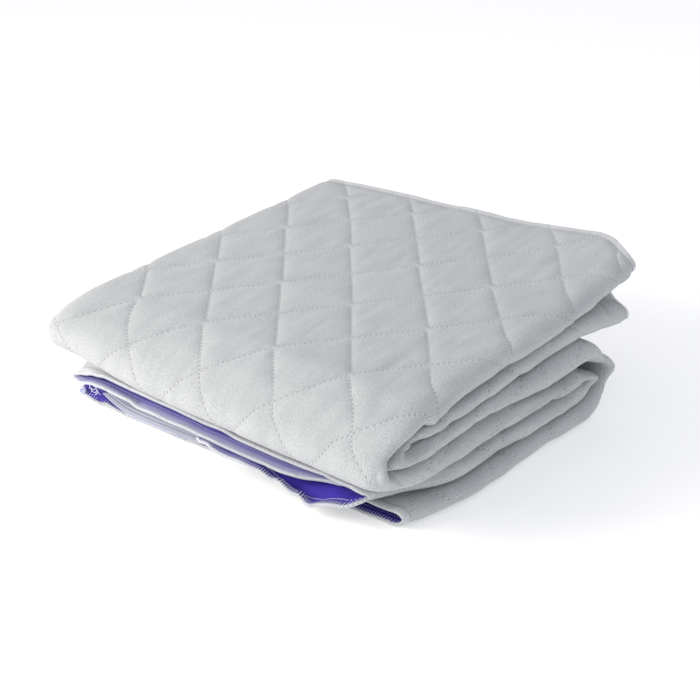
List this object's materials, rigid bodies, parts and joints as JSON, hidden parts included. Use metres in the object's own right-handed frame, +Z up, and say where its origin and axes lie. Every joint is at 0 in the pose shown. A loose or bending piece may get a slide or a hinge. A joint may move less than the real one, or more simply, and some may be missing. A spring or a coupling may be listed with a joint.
{
  "type": "folded quilted mattress protector",
  "caption": "Quilted mattress protector with a grey diamond-stitched face and violet backing, folded into a soft stack with an open hemmed end and an elastic corner strap.",
  "frame": {"origin": "centre of the footprint, on the surface that the stack rests on", "axes": "+Z up, +X along the front fold towards the folded edges, +Y from the front fold to the back hem"},
  "size_m": [0.4991, 0.5204, 0.1818],
  "materials": {
    "quilted_face": "matte knitted face quilted in diamonds",
    "backing": "smooth violet woven backing",
    "corner_strap": "ribbed white elastic"
  },
  "bodies": {
    "root": {"quilted_face": "quilted_face", "backing": "backing", "corner_strap": "corner_strap"}
  },
  "joints": []
}
